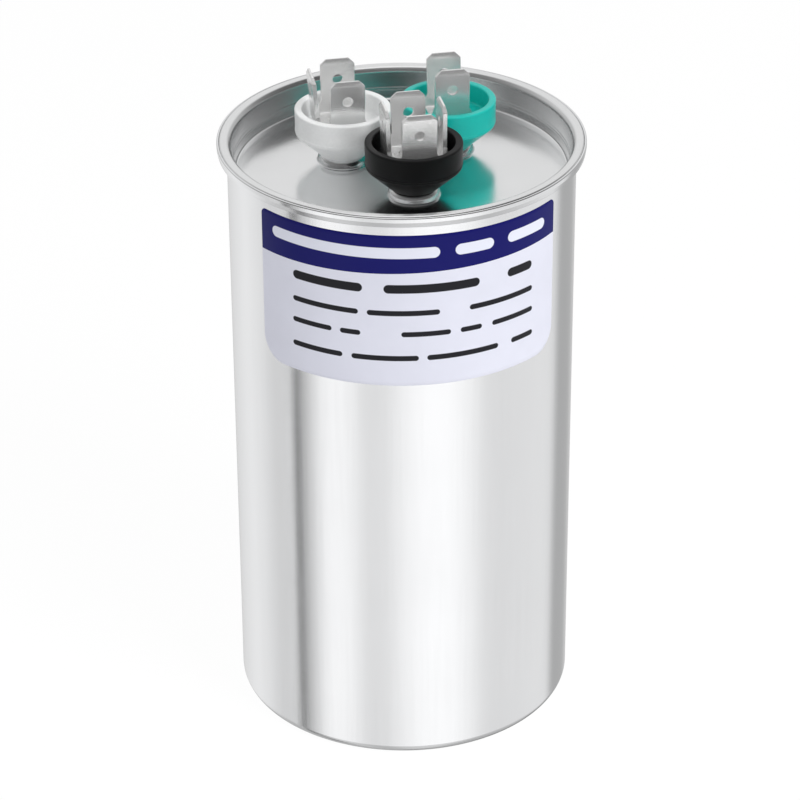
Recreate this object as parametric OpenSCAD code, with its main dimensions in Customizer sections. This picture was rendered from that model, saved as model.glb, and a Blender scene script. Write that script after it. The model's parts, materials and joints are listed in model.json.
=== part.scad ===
// Motor run capacitor with two sections in one round can: a drawn can, a crimped
// lid and three insulated terminals that carry four, three and two tabs.
// The base stands on z = 0, the can's axis is Z, and the common terminal is towards -Y.

/* [Can] */
// Outside diameter of the can
can_d = 63.5; // [62:0.5:70]
// Height from the base to the top of the rim
can_h = 114.1; // [106:0.1:130]
// Thickness of the can's sheet
can_t = 0.4; // [0.3:0.05:0.5]
// Outside radius of the bottom edge
base_edge_r = 1.8; // [1:0.1:3]

/* [Rim] */
// How far the rim stands out from the can
rim_out = 1.8; // [1.5:0.1:2.2]
// Height of the cone under the rim
rim_cone_h = 2; // [1.6:0.1:2.6]
// Height of the rim's upright band
rim_band_h = 1.8; // [1.5:0.1:2.2]
// How much lower the crimped edge of the can is than the lid's rounded top
crimp_drop = 0.3; // [0.2:0.05:0.4]

/* [Lid] */
// Thickness of the lid's sheet
lid_t = 0.36; // [0.3:0.02:0.4]
// Depth of the lid's panel under the rim
lid_depth = 6.1; // [5.5:0.1:7]
// How far the rim's inner edge lies inside the crimped edge
rim_top_w = 1.5; // [1.4:0.05:1.6]
// Gap between the lid's neck and the can
lid_neck_clear = 0.25; // [0.2:0.05:0.4]
// Height of the lower, slanted part of the lid's wall
lid_step_h = 1.4; // [1:0.1:2]
// Width of the lower, slanted part of the lid's wall
lid_step_w = 0.47; // [0.3:0.01:0.8]

/* [Collars in the lid] */
// Outside diameter of a rolled collar
collar_d = 9.6; // [9:0.1:10.5]
// Height of a collar above the panel
collar_h = 1.55; // [1.3:0.05:1.8]

/* [Insulating cups] */
// Outside diameter of a cup
cup_d = 17.6; // [16.6:0.1:18.4]
// Clear gap between two cups
cup_gap = 1.9; // [1:0.1:3]
// Wall of a cup
cup_wall = 1.35; // [1.1:0.05:1.5]
// Height of a cup's rim above the lid's panel
cup_top_h = 10.3; // [9.8:0.1:11.5]
// Inside depth of a cup
cup_depth = 3.7; // [3.2:0.1:4.2]
// Height of a cup's upright band
cup_band_h = 4.7; // [4.3:0.1:5]
// Diameter of a cup's neck
neck_d = 7.2; // [6.6:0.1:7.4]
// How far a cup's seat on the collar stands out from its neck
cup_seat_w = 0.8; // [0.7:0.05:1]

/* [Tabs] */
// Width of a tab
tab_w = 6.3; // [5.6:0.1:6.6]
// Thickness of the tab sheet
tab_t = 0.8; // [0.7:0.05:0.9]
// Height of the tabs above their base plate
tab_h = 10.2; // [9.5:0.1:12]
// Length of a tab above its shoulders
tab_reach = 7.6; // [7:0.1:8.2]
// How far a shoulder stands out on each side of a tab
shoulder_w = 0.5; // [0.3:0.05:0.6]
// Height over which a shoulder slopes back to the tab's width
shoulder_h = 1.1; // [0.5:0.1:1.4]
// Corner cut of a tab
tab_corner = 1.1; // [0.8:0.1:1.4]
// Diameter of the catch hole in a tab
catch_d = 1.9; // [1.5:0.1:2.1]
// Distance of the catch hole from the tab's end
catch_from_top = 3.9; // [3.5:0.1:4.3]
// Clear gap between the tabs' foot and the cup's wall
tab_wall_gap = 1; // [0.7:0.1:1.6]
// Width over the two tabs of the fan terminal, at their feet
fan_tab_span = 8; // [7.4:0.1:9.4]
// Lean of the tabs away from upright, in degrees
tab_lean = 2.3; // [0:0.1:3.5]

/* [Terminal stack] */
// Diameter of the rivets
rivet_d = 3; // [2.6:0.1:3.4]
// Diameter of a rivet's head
rivet_head_d = 5.4; // [5:0.1:6.2]
// Height of a rivet's head
rivet_head_h = 0.9; // [0.6:0.1:1.1]
// Diameter of the bush under the lid
bush_d = 12; // [11:0.1:13]
// Depth of the neck's seat in the bush
bush_seat_h = 1.2; // [0.9:0.1:1.6]
// Floor of the bush under the neck
bush_floor = 0.8; // [0.6:0.1:1.2]
// Thickness of the connecting lugs
lug_t = 0.6; // [0.4:0.1:0.8]
// Diameter of a lug's ring
lug_d = 8; // [7.6:0.1:9]
// Width of a lug's tail
lug_tail_w = 3; // [2.6:0.1:4]

/* [Windings] */
// Height of the small winding's film
small_h = 21; // [14:0.5:26]
// Diameter of the small winding
small_d = 35; // [32:0.5:38]
// Outside diameter of the winding cores
core_d = 9; // [8:0.5:9]
// Wall of the winding cores
core_wall = 1.2; // [0.8:0.1:1.5]
// Thickness of the sprayed zinc faces
spray_t = 0.6; // [0.4:0.1:1]

/* [Inside fittings] */
// Floor of the bottom tray
tray_floor = 2.6; // [2.4:0.1:3.5]
// Wall of the moulded trays
tray_wall = 1.2; // [1:0.1:1.8]
// Depth of the moulded skirts round a winding
skirt_h = 6; // [4:0.5:8]
// Height of the bottom tray's wall above its floor
tray_h = 12; // [8:0.5:20]
// Plate of the separator between the windings
separator_t = 2; // [1.5:0.1:3]
// Plate of the spacer on the small winding
spacer_plate = 1.5; // [1:0.1:2.5]
// Height of the spacer's posts
post_h = 7; // [5:0.5:10]
// Diameter of the spacer's posts
post_d = 4; // [3:0.5:5]
// Distance of the posts from the axis
post_from_axis = 13; // [11:0.5:14]
// Thickness of the interrupter disc
disc_t = 1.6; // [1:0.1:2.4]
// Space between the interrupter disc and the lugs
disc_gap = 5; // [4:0.5:8]
// Diameter of the leads with their insulation
lead_d = 1.8; // [1.4:0.1:2]
// Distance of the fan and compressor leads from the axis
lead_from_axis = 6; // [5.6:0.1:6.4]
// Distance of the common lead from the can's inner wall
common_lead_from_wall = 8.35; // [6.5:0.05:9]

/* [Label] */
// Height of the label
label_h = 29.75; // [20:0.05:40]
// Angle that the label covers round the can
label_span = 109.4; // [60:0.1:140]
// Turn of the label's middle from the common terminal
label_turn = -7.8; // [-40:0.1:40]
// Thickness of the label
label_t = 0.08; // [0.05:0.01:0.08]
// Radius of the label's lower corners
label_corner = 5; // [2:0.1:8]
// Radius of the label's upper corners
label_top_corner = 1.2; // [0.6:0.1:3]
// Distance of the label from the cone under the rim
label_from_cone = 0.2; // [0.1:0.1:2]

/* [Clearances] */
// Gap between moulded fittings and the can
can_clear = 0.3; // [0.2:0.05:0.4]
// Gap between a winding and its fitting
fit_clear = 0.25; // [0.15:0.05:0.35]
// Gap round the rivets and the leads
hole_clear = 0.1; // [0.05:0.05:0.2]
// Gap between the layers of the crimped rim
seam_clear = 0.02; // [0.02:0.01:0.04]

/* [Hidden] */
$fn = 96;

// Overlap that makes a cut pass clean through a face
cut = 0.01;
// Bends at the foot and at the top of the rim's cone
cone_foot_bend_r = 0.3;
cone_top_bend_r = 0.7;
// Bends at the foot of the lid's wall, over its slanted part, and at the rim's two edges
lid_foot_bend_r = 0.8;
lid_step_bend_r = 0.6;
rim_inner_bend_r = 0.6;
rim_outer_bend_r = 0.7;
// Small edges of the moulded cups, their shoulder and the corner of their floor
cup_edge_r = 0.3;
cup_shoulder_r = 1.2;
cup_floor_corner_r = 0.4;
// How much narrower a cup is at the foot of its band than at its rim
cup_draft = 0.08;
// Corner between a cup's neck and its seat
cup_seat_corner_r = 0.2;
// Space left inside a collar where its curled edge ends
curl_gap = 0.06;
// Edges of a rivet's heads and the corners beside its shank
rivet_edge_r = 0.4;
rivet_corner_r = 0.05;
// Bend at a tab's foot, length of the bevel at its end and thickness of that end
tab_bend_r = 0.5;
tab_bevel = 0.9;
// Bevel along the sealing ring's edges
gasket_bevel = 0.3;
// Bare edge round the sprayed zinc
spray_margin = 0.5;
// Solder link between the windings
link_r = 1.5;
link_from_axis = 11;
// Steps of a rounded corner of the label
label_corner_steps = 6;

can_r = can_d / 2;
can_inner_r = can_r - can_t;
rim_r = can_r + rim_out;
crimp_z = can_h - crimp_drop;
rim_band_z = crimp_z - rim_band_h;
cone_foot_z = rim_band_z - rim_cone_h;

// Lid: the rim's inner edge, the wall's foot and the panel
crimp_r = rim_r - can_t - seam_clear;
rim_inner_r = crimp_r - rim_top_w;
lid_step_r = can_inner_r - lid_neck_clear - lid_t;
lid_foot_r = lid_step_r - lid_step_w;
panel_z = can_h - lid_depth;
lid_under = panel_z - lid_t;

// Terminals: common, compressor, fan, spaced evenly round the axis
common_angle = -90;
compressor_angle = 150;
fan_angle = 30;
pitch_r = (cup_d + cup_gap) / sqrt(3);

cup_r = cup_d / 2;
cup_inner_r = cup_r - cup_wall;
cup_top_z = panel_z + cup_top_h;
cup_floor_z = cup_top_z - cup_depth;
neck_r = neck_d / 2;
collar_inner_r = neck_r + hole_clear;
neck_end_z = lid_under - bush_seat_h;

// Tabs: the foot of a tab stays inside the cup's wall
plate_z = cup_floor_z + tab_t;
tab_top_z = plate_z + tab_h;
foot_half_w = tab_w / 2 + shoulder_w;
tab_foot_r = cup_inner_r - tab_wall_gap;
tab_span = 2 * sqrt(tab_foot_r * tab_foot_r - foot_half_w * foot_half_w);
tab_tip_t = tab_t / 2;

// Stack under the lid
rivet_r = rivet_d / 2;
rivet_bore_r = rivet_r + hole_clear;
rivet_head_r = min(rivet_head_d / 2, fan_tab_span / 2 - tab_t - tab_bend_r);
bush_end_z = neck_end_z - bush_floor;
lug_z = bush_end_z - lug_t;
rivet_end_z = lug_z - rivet_head_h;
disc_top_z = lug_z - disc_gap;
disc_z = disc_top_z - disc_t;

// Windings, from the top down; the large one fills what is left
small_r = small_d / 2;
core_r = core_d / 2;
small_top_z = disc_z - post_h - spacer_plate;
small_z = small_top_z - small_h - 2 * spray_t;
large_top_z = small_z - separator_t;
large_z = can_t + tray_floor;
tray_r = can_inner_r - can_clear;
common_lead_from_axis = can_inner_r - common_lead_from_wall;
large_r = tray_r - tray_wall - fit_clear;
lead_hole_r = lead_d / 2 + hole_clear;
lead_end_r = core_r + 2 * lead_d;

function unit(a) = a / norm(a);
function left_of(a) = [-a.y, a.x];
function turned(a, angle) = [a.x * cos(angle) - a.y * sin(angle), a.x * sin(angle) + a.y * cos(angle)];

// Points round the corner q between p and s, each with the direction to its left
function corner_points(p, q, s, r, steps) =
    let (
        u = unit(q - p),
        angle = atan2(cross(u, unit(s - q)), u * unit(s - q)),
        side = sign(angle),
        middle = q - u * r * tan(abs(angle) / 2) + left_of(u) * r * side
    )
    [for (k = [0 : steps]) let (m = turned(left_of(u), angle * k / steps)) [middle - m * r * side, m]];

// A line through the given points with rounded corners
function rounded(path, radii, steps = 6) =
    let (last = len(path) - 1)
    concat(
        [[path[0], left_of(unit(path[1] - path[0]))]],
        [for (i = [1 : last - 1]) each corner_points(path[i - 1], path[i], path[i + 1], radii[i - 1], steps)],
        [[path[last], left_of(unit(path[last] - path[last - 1]))]]
    );

function line_points(line) = [for (p = line) p[0]];
function shifted_back(line, d) = [for (i = [len(line) - 1 : -1 : 0]) line[i][0] + line[i][1] * d];

// Section of a sheet of thickness t that lies to the left of a rounded line (t < 0: to the right)
module sheet(path, radii, t) {
    line = rounded(path, radii);
    polygon(concat(line_points(line), shifted_back(line, t)));
}

module at_terminal(angle) {
    translate([pitch_r * cos(angle), pitch_r * sin(angle), 0]) children();
}

// Drawn can whose mouth flares into a cone and is crimped over the lid's edge
module can() {
    color("#c8ccd0")
    rotate_extrude()
    sheet(
        [[0, 0], [can_r, 0], [can_r, cone_foot_z], [rim_r, rim_band_z], [rim_r, crimp_z], [crimp_r, crimp_z]],
        [base_edge_r, cone_foot_bend_r, cone_top_bend_r, can_t + seam_clear / 2],
        can_t
    );
}

// Rolled collar round a neck: the sheet turns up out of the panel and curls over into a bead
module collar_section() {
    outer = collar_d / 2;
    wall_r = collar_inner_r + lid_t;
    roll_r = (outer - lid_t - wall_r) / 2 - cut;
    crest_z = panel_z + collar_h - lid_t;
    curl_z = panel_z + curl_gap + lid_t;
    sheet(
        [[outer, panel_z], [wall_r, panel_z], [wall_r, crest_z],
         [outer - lid_t, crest_z], [outer - lid_t, curl_z], [wall_r + curl_gap, curl_z]],
        [roll_r, roll_r, roll_r, roll_r],
        lid_t
    );
}

// Lid: panel, wall, and a rim that is folded down inside the can's crimped edge
module lid() {
    color("#d7d9db")
    union() {
        difference() {
            rotate_extrude()
            sheet(
                [[0, panel_z], [lid_foot_r, panel_z], [lid_step_r, panel_z + lid_step_h],
                 [rim_inner_r, can_h], [crimp_r, can_h], [crimp_r, rim_band_z + can_t]],
                [lid_foot_bend_r, lid_step_bend_r, rim_inner_bend_r, rim_outer_bend_r],
                -lid_t
            );
            for (angle = [common_angle, compressor_angle, fan_angle])
                at_terminal(angle)
                translate([0, 0, lid_under - cut])
                cylinder(h = lid_t + 2 * cut, d = collar_inner_r + collar_d / 2);
        }
        for (angle = [common_angle, compressor_angle, fan_angle])
            at_terminal(angle) rotate_extrude() collar_section();
    }
}

// Sealing ring between the rim of the lid and the cone of the can
module seam_gasket() {
    slope = rim_cone_h / rim_out;
    cone_inner_z = cone_foot_z + can_t * tan(atan(rim_out / rim_cone_h) / 2);
    inner_r = rim_inner_r + lid_t + 2 * seam_clear;
    outer_r = crimp_r - lid_t - seam_clear;
    top_z = can_h - lid_t - seam_clear;
    color("#3a3f45")
    rotate_extrude()
    polygon([
        [inner_r, cone_inner_z + (inner_r - can_inner_r) * slope + seam_clear],
        [outer_r, cone_inner_z + (outer_r - can_inner_r) * slope + seam_clear],
        [outer_r, top_z - gasket_bevel], [outer_r - gasket_bevel, top_z],
        [inner_r + gasket_bevel / 2, top_z], [inner_r, top_z - gasket_bevel]
    ]);
}

// Points round one corner of the label, wrapped onto the can
function label_corner_points(side, middle_z, r, first) =
    let (r_angle = r * 180 / (PI * can_r))
    [for (k = [0 : label_corner_steps]) let (a = first + 90 * k / label_corner_steps)
        [can_r * sin(side * (label_span / 2 - r_angle) + r_angle * cos(a)), middle_z + r * sin(a)]];

// Label: a thin skin on the can's wall with rounded corners
module label() {
    top_z = cone_foot_z - label_from_cone;
    bottom_z = top_z - label_h;
    color("#dcdcea")
    rotate([0, 0, label_turn])
    intersection() {
        difference() {
            translate([0, 0, bottom_z - cut]) cylinder(h = label_h + 2 * cut, r = can_r + label_t);
            translate([0, 0, bottom_z - 2 * cut]) cylinder(h = label_h + 4 * cut, r = can_r);
        }
        rotate([90, 0, 0])
        linear_extrude(can_d)
        polygon(concat(
            label_corner_points(1, bottom_z + label_corner, label_corner, -90),
            label_corner_points(1, top_z - label_top_corner, label_top_corner, 0),
            label_corner_points(-1, top_z - label_top_corner, label_top_corner, 90),
            label_corner_points(-1, bottom_z + label_corner, label_corner, 180)
        ));
    }
}

// Insulating cup: a funnel that is seated on a collar of the lid, with its neck through it
module cup() {
    seat_z = panel_z + collar_h;
    outline = rounded(
        [[rivet_bore_r, neck_end_z], [neck_r, neck_end_z], [neck_r, seat_z], [neck_r + cup_seat_w, seat_z],
         [cup_r - cup_draft, cup_top_z - cup_band_h], [cup_r, cup_top_z], [cup_inner_r, cup_top_z],
         [cup_inner_r - cup_draft, cup_floor_z], [rivet_bore_r, cup_floor_z]],
        [cup_edge_r, cup_seat_corner_r, cup_edge_r, cup_shoulder_r, cup_edge_r, cup_edge_r, cup_floor_corner_r]
    );
    rotate_extrude() polygon(line_points(outline));
}

module common_cup() {
    color("#232427") at_terminal(common_angle) cup();
}

module compressor_cup() {
    color("#e9eaec") at_terminal(compressor_angle) cup();
}

module fan_cup() {
    color("#14a896") at_terminal(fan_angle) cup();
}

// One tab towards +X, with the half of the base plate that it is folded up from
module tab_arm(span) {
    foot = [span / 2 - tab_t, plate_z];
    tip = foot + [tab_h * tan(tab_lean), tab_h];
    along = unit(tip - foot);
    inward = left_of(along);
    side_cut = (tab_t - tab_tip_t) / 2;
    line = rounded([[0, plate_z], foot, tip - along * tab_bevel], [tab_bend_r]);
    shoulder_z = tab_top_z - tab_reach;
    half_w = tab_w / 2;
    intersection() {
        translate([0, foot_half_w, 0])
        rotate([90, 0, 0])
        linear_extrude(2 * foot_half_w)
        polygon(concat(
            line_points(line),
            [tip - inward * side_cut, tip - inward * (tab_t - side_cut)],
            shifted_back(line, -tab_t)
        ));
        rotate([90, 0, 90])
        translate([0, 0, -cut])
        linear_extrude(cup_d)
        difference() {
            polygon([
                [-foot_half_w, cup_floor_z - cut], [foot_half_w, cup_floor_z - cut],
                [foot_half_w, shoulder_z - shoulder_h], [half_w, shoulder_z],
                [half_w, tab_top_z - tab_corner], [half_w - tab_corner, tab_top_z],
                [tab_corner - half_w, tab_top_z], [-half_w, tab_top_z - tab_corner],
                [-half_w, shoulder_z], [-foot_half_w, shoulder_z - shoulder_h]
            ]);
            translate([0, tab_top_z - catch_from_top]) circle(d = catch_d);
        }
    }
}

// Tabs folded up from one base plate, towards the given directions
module tabs(directions, span) {
    difference() {
        union()
            for (direction = directions) rotate([0, 0, direction]) tab_arm(span);
        translate([0, 0, cup_floor_z - cut])
        cylinder(h = tab_t + 2 * cut, r = rivet_bore_r);
    }
}

module common_tabs() {
    color("#b9bbbd") at_terminal(common_angle) tabs([0, 90, 180, 270], tab_span);
}

module compressor_tabs() {
    color("#b9bbbd") at_terminal(compressor_angle) tabs([90, 180, 270], tab_span);
}

module fan_tabs() {
    color("#b9bbbd") at_terminal(fan_angle) tabs([90, 270], fan_tab_span);
}

// Rivet that clamps the tabs, the cup, the bush and the lug together
module rivet() {
    top_z = plate_z + rivet_head_h;
    outline = rounded(
        [[0, rivet_end_z], [rivet_head_r, rivet_end_z], [rivet_head_r, lug_z], [rivet_r, lug_z],
         [rivet_r, plate_z], [rivet_head_r, plate_z], [rivet_head_r, top_z], [0, top_z]],
        [rivet_edge_r, rivet_corner_r, rivet_corner_r, rivet_corner_r, rivet_corner_r, rivet_edge_r],
        4
    );
    rotate_extrude() polygon(line_points(outline));
}

module common_rivet() {
    color("#c9cbcc") at_terminal(common_angle) rivet();
}

module compressor_rivet() {
    color("#c9cbcc") at_terminal(compressor_angle) rivet();
}

module fan_rivet() {
    color("#c9cbcc") at_terminal(fan_angle) rivet();
}

// Sealing bush under the lid, round the end of a cup's neck
module bush() {
    seat_r = neck_r + hole_clear;
    rotate_extrude()
    polygon([
        [rivet_bore_r, bush_end_z], [bush_d / 2, bush_end_z], [bush_d / 2, lid_under],
        [seat_r, lid_under], [seat_r, neck_end_z], [rivet_bore_r, neck_end_z]
    ]);
}

module common_bush() {
    color("#4b4f55") at_terminal(common_angle) bush();
}

module compressor_bush() {
    color("#4b4f55") at_terminal(compressor_angle) bush();
}

module fan_bush() {
    color("#4b4f55") at_terminal(fan_angle) bush();
}

// Lug under a rivet's bush, with a tail that ends over its lead
module lug(angle, lead_at) {
    tail_start = min(pitch_r, lead_at);
    translate([0, 0, lug_z])
    difference() {
        union() {
            at_terminal(angle) cylinder(h = lug_t, d = lug_d);
            rotate([0, 0, angle]) {
                translate([tail_start, -lug_tail_w / 2, 0])
                cube([abs(pitch_r - lead_at), lug_tail_w, lug_t]);
                translate([lead_at, 0, 0]) cylinder(h = lug_t, d = lug_tail_w);
            }
        }
        at_terminal(angle)
        translate([0, 0, -cut])
        cylinder(h = lug_t + 2 * cut, r = rivet_bore_r);
    }
}

module common_lug() {
    color("#c2b280") lug(common_angle, common_lead_from_axis);
}

module compressor_lug() {
    color("#c2b280") lug(compressor_angle, lead_from_axis);
}

module fan_lug() {
    color("#c2b280") lug(fan_angle, lead_from_axis);
}

// Point over or under a lead's hole in the interrupter disc
function lead_point(angle, from_axis, z) = [from_axis * cos(angle), from_axis * sin(angle), z];

// Insulated wire along a few straight stretches, a little fuller where it turns
module lead(points) {
    for (i = [0 : len(points) - 2]) {
        way = points[i + 1] - points[i];
        translate(points[i])
        rotate([0, acos(way.z / norm(way)), atan2(way.y, way.x)])
        cylinder(h = norm(way), d = lead_d);
    }
    for (i = [1 : 1 : len(points) - 2])
        translate(points[i]) sphere(d = lead_d + 2 * cut);
}

module common_lead() {
    color("#2b2b2b")
    lead([
        lead_point(common_angle, common_lead_from_axis, lug_z),
        lead_point(common_angle, common_lead_from_axis, large_top_z)
    ]);
}

// Runs down the axis through both cores to the lower face of the large winding
module compressor_lead() {
    bottom_z = large_z - lead_d / 2;
    color("#e8e8e8")
    lead([
        lead_point(compressor_angle, lead_from_axis, lug_z),
        lead_point(compressor_angle, lead_from_axis, disc_z - lead_d),
        [0, 0, small_top_z + spacer_plate],
        [0, 0, bottom_z],
        [lead_end_r, 0, bottom_z]
    ]);
}

module fan_lead() {
    color("#2a9d8f")
    lead([
        lead_point(fan_angle, lead_from_axis, lug_z),
        lead_point(fan_angle, lead_from_axis, small_top_z)
    ]);
}

// Disc that holds the leads still when the lid bulges and pulls them apart
module interrupter_disc() {
    color("#8a5a2b")
    difference() {
        translate([0, 0, disc_z]) cylinder(h = disc_t, r = can_inner_r - can_clear);
        for (hole = [[common_angle, common_lead_from_axis], [compressor_angle, lead_from_axis],
                     [fan_angle, lead_from_axis]])
            translate(lead_point(hole[0], hole[1], disc_z - cut))
            cylinder(h = disc_t + 2 * cut, r = lead_hole_r);
    }
}

// Moulded cap on the small winding, with posts that carry the disc
module top_spacer() {
    skirt_r = small_r + fit_clear;
    color("#e4e2d6")
    difference() {
        union() {
            translate([0, 0, small_top_z - skirt_h])
            cylinder(h = skirt_h + spacer_plate, r = skirt_r + tray_wall);
            for (angle = [90, 210, 330])
                translate(lead_point(angle, post_from_axis, small_top_z))
                cylinder(h = disc_z - small_top_z, d = post_d);
        }
        translate([0, 0, small_top_z - skirt_h - cut]) cylinder(h = skirt_h + cut, r = skirt_r);
        translate([0, 0, small_top_z - cut])
        cylinder(h = spacer_plate + 2 * cut, r = lead_from_axis + lead_hole_r);
    }
}

// Wound film: the turns of a roll are one solid round its core
module winding(bottom_z, top_z, r) {
    translate([0, 0, bottom_z])
    difference() {
        cylinder(h = top_z - bottom_z, r = r);
        translate([0, 0, -cut]) cylinder(h = top_z - bottom_z + 2 * cut, r = core_r);
    }
}

module core(bottom_z, top_z) {
    translate([0, 0, bottom_z])
    difference() {
        cylinder(h = top_z - bottom_z, r = core_r);
        translate([0, 0, -cut]) cylinder(h = top_z - bottom_z + 2 * cut, r = core_r - core_wall);
    }
}

// Zinc sprayed onto one face of a roll, short of its edges
module spray(bottom_z, r) {
    translate([0, 0, bottom_z])
    difference() {
        cylinder(h = spray_t, r = r - spray_margin);
        translate([0, 0, -cut]) cylinder(h = spray_t + 2 * cut, r = core_r + spray_margin);
    }
}

module small_winding() {
    color("#cfc7a8") winding(small_z + spray_t, small_top_z - spray_t, small_r);
}

module small_core() {
    color("#f0ede2") core(small_z, small_top_z);
}

module small_top_spray() {
    color("#9aa0a6") spray(small_top_z - spray_t, small_r);
}

module small_bottom_spray() {
    color("#9aa0a6") spray(small_z, small_r);
}

module large_winding() {
    color("#cfc7a8") winding(large_z + spray_t, large_top_z - spray_t, large_r);
}

module large_core() {
    color("#f0ede2") core(large_z, large_top_z);
}

module large_top_spray() {
    color("#9aa0a6") spray(large_top_z - spray_t, large_r);
}

module large_bottom_spray() {
    color("#9aa0a6") spray(large_z, large_r);
}

// Solder link between the facing sprays of the two windings
module common_link() {
    color("#b0b4b8")
    translate([0, -link_from_axis, large_top_z])
    cylinder(h = separator_t, r = link_r);
}

// Moulded plate between the windings, with a skirt round each of them
module separator() {
    lower_r = large_r + fit_clear;
    upper_r = small_r + fit_clear;
    color("#e4e2d6")
    difference() {
        union() {
            translate([0, 0, large_top_z - skirt_h]) cylinder(h = skirt_h + separator_t, r = tray_r);
            translate([0, 0, large_top_z]) cylinder(h = separator_t + skirt_h, r = upper_r + tray_wall);
        }
        translate([0, 0, large_top_z - skirt_h - cut]) cylinder(h = skirt_h + cut, r = lower_r);
        translate([0, 0, small_z]) cylinder(h = skirt_h + cut, r = upper_r);
        translate([0, 0, large_top_z - cut]) {
            cylinder(h = separator_t + 2 * cut, r = core_r - core_wall);
            translate([0, -link_from_axis, 0]) cylinder(h = separator_t + 2 * cut, r = link_r + hole_clear);
            translate([0, -common_lead_from_axis, 0]) cylinder(h = separator_t + 2 * cut, r = lead_hole_r);
        }
    }
}

// Moulded tray under the large winding, with a groove for the compressor lead
module bottom_tray() {
    groove_w = lead_d + 2 * hole_clear;
    groove_h = lead_d + hole_clear;
    wall_r = tray_r - tray_wall;
    color("#e4e2d6")
    difference() {
        rotate_extrude()
        polygon([
            [0, can_t], [tray_r - base_edge_r, can_t], [tray_r, can_t + base_edge_r],
            [tray_r, large_z + tray_h], [wall_r, large_z + tray_h], [wall_r, large_z], [0, large_z]
        ]);
        translate([-groove_w / 2, -groove_w / 2, large_z - groove_h])
        cube([lead_end_r + lead_d + groove_w / 2, groove_w, groove_h + cut]);
    }
}

can();
lid();
seam_gasket();
label();
common_cup();
compressor_cup();
fan_cup();
common_tabs();
compressor_tabs();
fan_tabs();
common_rivet();
compressor_rivet();
fan_rivet();
common_bush();
compressor_bush();
fan_bush();
common_lug();
compressor_lug();
fan_lug();
common_lead();
compressor_lead();
fan_lead();
interrupter_disc();
top_spacer();
small_winding();
small_core();
small_top_spray();
small_bottom_spray();
common_link();
separator();
large_winding();
large_core();
large_top_spray();
large_bottom_spray();
bottom_tray();
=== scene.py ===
# Looks of a motor run capacitor: drawn can, crimped lid, label, three cup terminals with folded tabs.
import bpy
import bmesh
import json
import math
import numpy as np
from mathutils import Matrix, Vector


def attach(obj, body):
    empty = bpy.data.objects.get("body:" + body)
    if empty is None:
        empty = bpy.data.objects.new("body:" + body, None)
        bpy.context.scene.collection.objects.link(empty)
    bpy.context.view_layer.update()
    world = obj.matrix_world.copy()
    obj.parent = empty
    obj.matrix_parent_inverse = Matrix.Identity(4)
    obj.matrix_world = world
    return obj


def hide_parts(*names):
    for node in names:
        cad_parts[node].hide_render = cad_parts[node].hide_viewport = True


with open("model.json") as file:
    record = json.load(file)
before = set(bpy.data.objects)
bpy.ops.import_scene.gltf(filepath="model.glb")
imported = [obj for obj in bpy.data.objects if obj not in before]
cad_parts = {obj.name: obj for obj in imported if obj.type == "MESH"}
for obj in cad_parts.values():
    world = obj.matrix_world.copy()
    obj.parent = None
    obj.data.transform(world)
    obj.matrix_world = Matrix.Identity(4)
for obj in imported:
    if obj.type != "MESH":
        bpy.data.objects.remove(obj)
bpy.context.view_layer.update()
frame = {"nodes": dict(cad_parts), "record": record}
print("frame loaded,", len(frame["nodes"]), "nodes")

mm = 0.001
mergeGap = 0.0001  # doubles closer than this become one point, in millimetres
noiseSpan = (0.3, 0.7)  # most values of a noise lie between these


# A line through the points with an arc of the given radius at each inner corner.
# Gives the points and, at each, the direction to its left.
def roundedLine(points, radii, steps=8):
    p = np.asarray(points, float)
    way = np.diff(p, axis=0)
    way /= np.linalg.norm(way, axis=1)[:, None]
    left = np.stack([-way[:, 1], way[:, 0]], 1)
    line, sides = [p[:1]], [left[:1]]
    for i, r in enumerate(radii):
        angle = math.atan2(np.cross(way[i], way[i + 1]), way[i] @ way[i + 1])
        side = math.copysign(1, angle)
        centre = p[i + 1] - way[i] * r * math.tan(abs(angle) / 2) + left[i] * r * side
        turn = angle * np.linspace(0, 1, steps + 1)
        arm = np.stack([left[i, 0] * np.cos(turn) - left[i, 1] * np.sin(turn),
                        left[i, 0] * np.sin(turn) + left[i, 1] * np.cos(turn)], 1)
        line.append(centre - arm * r * side)
        sides.append(arm)
    line.append(p[-1:])
    sides.append(left[-1:])
    return np.concatenate(line), np.concatenate(sides)


# Points along a line with none further apart than step, and one close to each end of a long
# straight stretch, so that smooth shading stays flat there.
def filledLine(line, step, hold=0.06, closed=False):
    p = np.concatenate([line, line[:1]]) if closed else line
    out = []
    for a, b in zip(p[:-1], p[1:]):
        length = np.linalg.norm(b - a)
        if length < 1e-6:
            continue
        share = np.linspace(0, 1, max(1, math.ceil(length / step)) + 1)
        if length > 4 * hold:
            share = np.unique(np.concatenate([share, [hold / length, 1 - hold / length]]))
        out.append(a + (b - a) * share[:-1, None])
    if not closed:
        out.append(p[-1:])
    return np.concatenate(out)


# The closed section of a sheet: the rounded line, and back along it at the sheet's thickness to its left.
def sheetSection(points, radii, thickness, step, steps):
    line, left = roundedLine(points, radii, steps)
    return filledLine(np.concatenate([line, (line + left * thickness)[::-1]]), step, closed=True)


# Each point (r, z) of a section runs round the axis: x = cx + r cos a, y = cy + r sin a, z = z.
def revolved(section, segments, centre=(0, 0)):
    a = np.linspace(0, 2 * math.pi, segments, endpoint=False)
    r, z = section[:, :1], section[:, 1:]
    return np.stack([centre[0] + r * np.cos(a), centre[1] + r * np.sin(a), z + 0 * a], 2)


# A value from 0 to 1 with level ends: 3 t squared less 2 t cubed.
def eased(t):
    return t * t * (3 - 2 * t)


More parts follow.
